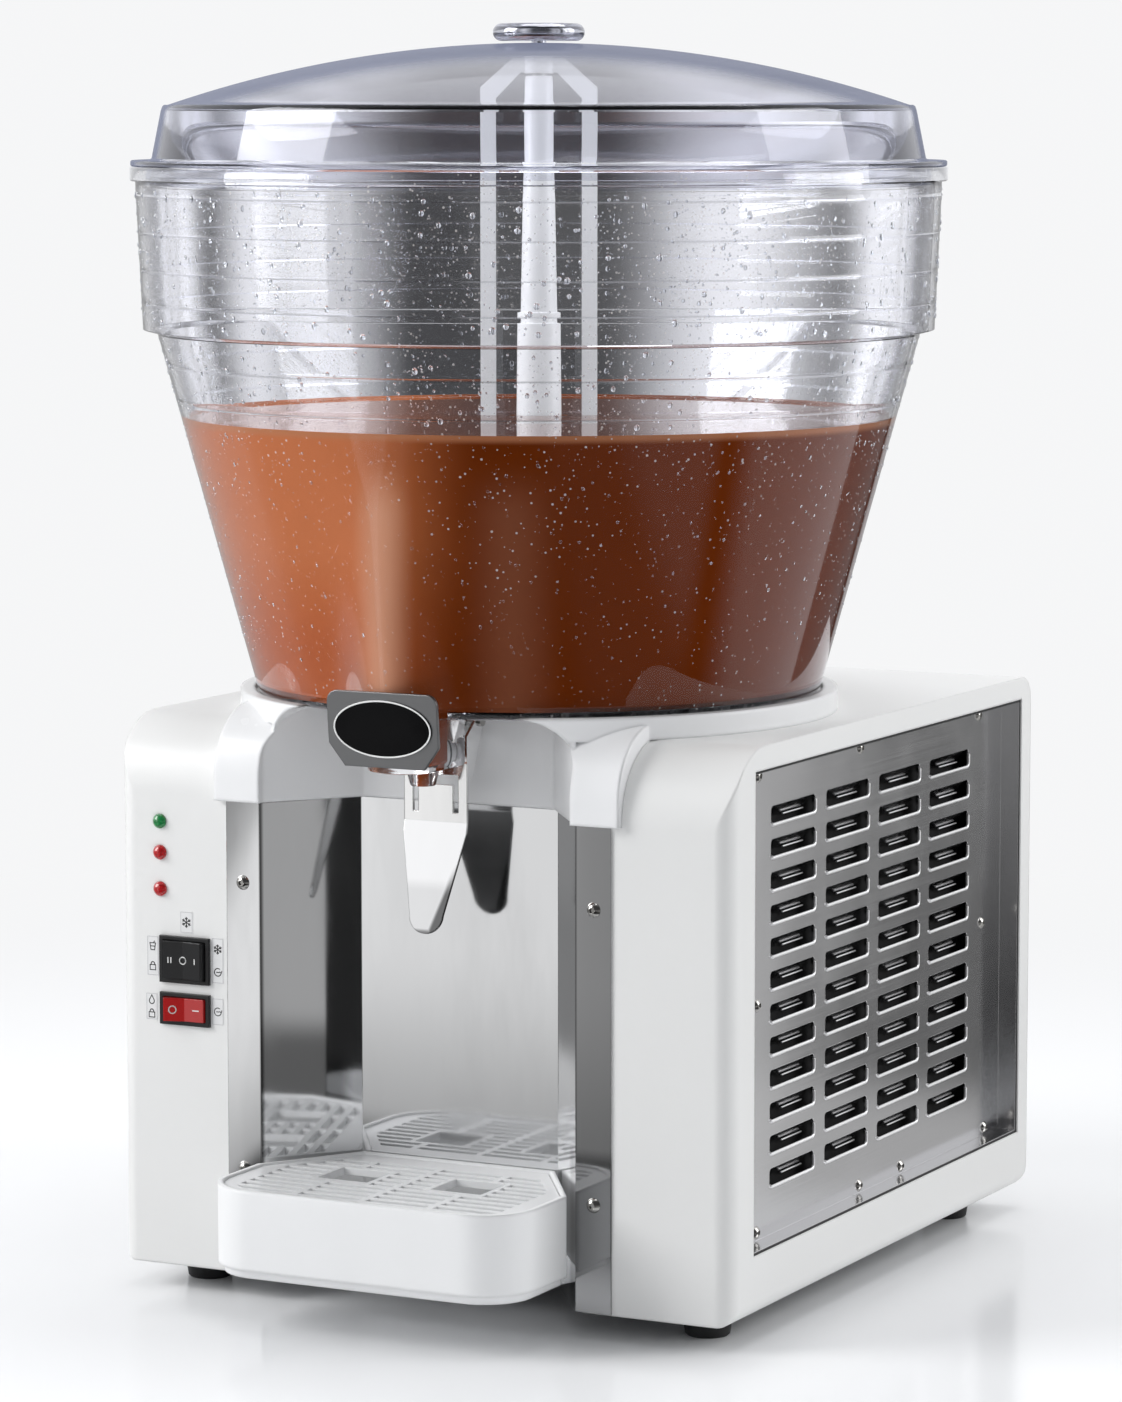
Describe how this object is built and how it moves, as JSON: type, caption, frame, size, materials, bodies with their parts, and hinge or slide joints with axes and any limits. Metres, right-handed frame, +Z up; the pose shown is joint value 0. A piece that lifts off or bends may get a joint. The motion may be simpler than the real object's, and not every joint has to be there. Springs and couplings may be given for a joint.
{
  "type": "cold drink dispenser",
  "caption": "Countertop cold drink dispenser with a clear lift-off bowl and domed lid, turning agitator, push-lever tap, polished serving niche, drip tray and louvred cooling cabinet.",
  "frame": {"origin": "on the floor under the middle of the object's box", "axes": "+Z up, -Y towards the tap and the person served, +X to that person's right"},
  "size_m": [0.4439, 0.4912, 0.6867],
  "materials": {
    "painted_white": "smooth white powder coat",
    "stainless": "fine brushed stainless sheet",
    "polished_steel": "mirror-polished stainless sheet",
    "white_plastic": "smooth white moulding",
    "clear_plastic": "clear polycarbonate",
    "badge_metal": "satin grey metal",
    "black_inlay": "glossy black, bare",
    "black_plastic": "satin black moulding",
    "red_plastic": "glossy translucent red",
    "green_plastic": "glossy translucent green",
    "black_rubber": "matt black rubber",
    "filter_foam": "open black foam",
    "seal_rubber": "food-grade silicone",
    "nylon": "natural nylon",
    "motor_grey": "grey enamel",
    "black_enamel": "black enamel",
    "galvanised": "galvanised sheet",
    "copper": "bare copper tube",
    "fin_aluminium": "plain aluminium fins",
    "screw_steel": "plain steel"
  },
  "bodies": {
    "cabinet": {"base_pan": "galvanised", "rubber_feet": "black_rubber", "cabinet_shell": "painted_white", "left_side_panel": "stainless", "right_side_panel": "stainless", "side_panel_screws": "screw_steel", "air_filters": "filter_foam", "rear_panel": "painted_white", "rear_panel_screws": "screw_steel", "niche_liner": "polished_steel", "liner_screws": "screw_steel", "front_collar": "white_plastic", "evaporator": "stainless", "bowl_gasket": "seal_rubber", "standpipe": "white_plastic", "shaft_bush": "nylon", "gear_motor": "motor_grey", "motor_bracket": "galvanised", "compressor": "black_enamel", "compressor_grommets": "black_rubber", "condenser_fins": "fin_aluminium", "condenser_tube": "copper", "fan_shroud": "galvanised", "fan_motor": "motor_grey", "filter_drier": "copper", "discharge_line": "copper", "liquid_line": "copper", "capillary_line": "copper", "suction_line": "copper", "control_box": "galvanised", "cord_gland": "black_plastic", "green_lamp": "green_plastic", "upper_red_lamp": "red_plastic", "lower_red_lamp": "red_plastic", "mode_switch_body": "black_plastic", "power_switch_body": "black_plastic"},
    "bowl": {"bowl": "clear_plastic", "badge_plate": "badge_metal", "badge_inlay": "black_inlay", "lever_pin": "screw_steel", "lever_spring": "screw_steel"},
    "lever": {"tap_lever": "polished_steel"},
    "valve": {"valve_plunger": "white_plastic", "valve_seals": "black_rubber"},
    "lid": {"lid": "clear_plastic", "lid_knob": "clear_plastic"},
    "agitator": {"agitator": "white_plastic", "drive_shaft": "screw_steel"},
    "fan": {"fan_rotor": "black_plastic"},
    "mode_rocker": {"mode_rocker": "black_plastic"},
    "power_rocker": {"power_rocker": "red_plastic"},
    "tray": {"drip_tray": "white_plastic"},
    "grid": {"drip_grid": "white_plastic"}
  },
  "joints": [
    {"name": "bowl_lift", "type": "slide", "parent": "cabinet", "child": "bowl", "axis": [0, 0, 1], "range_m": [0, 0.36]},
    {"name": "lid_lift", "type": "slide", "parent": "bowl", "child": "lid", "axis": [0, 0, 1], "range_m": [0, 0.15]},
    {"name": "lever_push", "type": "hinge", "parent": "bowl", "child": "lever", "pos_m": [0, -0.12925, 0.3185], "axis": [1, 0, 0], "range_deg": [0, 16], "stiffness_Nm_per_rad": 0.4, "springref_deg": -14.32},
    {"name": "valve_draw", "type": "slide", "parent": "bowl", "child": "valve", "axis": [0, 1, 0], "range_m": [0, 0.0036]},
    {"name": "agitator_spin", "type": "hinge", "parent": "cabinet", "child": "agitator", "pos_m": [0, -0.02375, 0.6], "axis": [0, 0, 1], "continuous": true},
    {"name": "fan_spin", "type": "hinge", "parent": "cabinet", "child": "fan", "pos_m": [0.092, 0.08075, 0.1115], "axis": [1, 0, 0], "continuous": true},
    {"name": "mode_rock", "type": "hinge", "parent": "cabinet", "child": "mode_rocker", "pos_m": [-0.142, -0.16525, 0.183], "axis": [0, 0, 1], "range_deg": [-9, 9]},
    {"name": "power_rock", "type": "hinge", "parent": "cabinet", "child": "power_rocker", "pos_m": [-0.142, -0.16525, 0.156], "axis": [0, 0, 1], "range_deg": [-18, 0]},
    {"name": "tray_pull", "type": "slide", "parent": "cabinet", "child": "tray", "axis": [0, -1, 0], "range_m": [0, 0.15]},
    {"name": "grid_lift", "type": "slide", "parent": "tray", "child": "grid", "axis": [0, 0, 1], "range_m": [0, 0.08]}
  ],
  "couplings": [
    {"joint": "valve_draw", "follows": "lever_push", "m_per_rad": 0.0128}
  ]
}
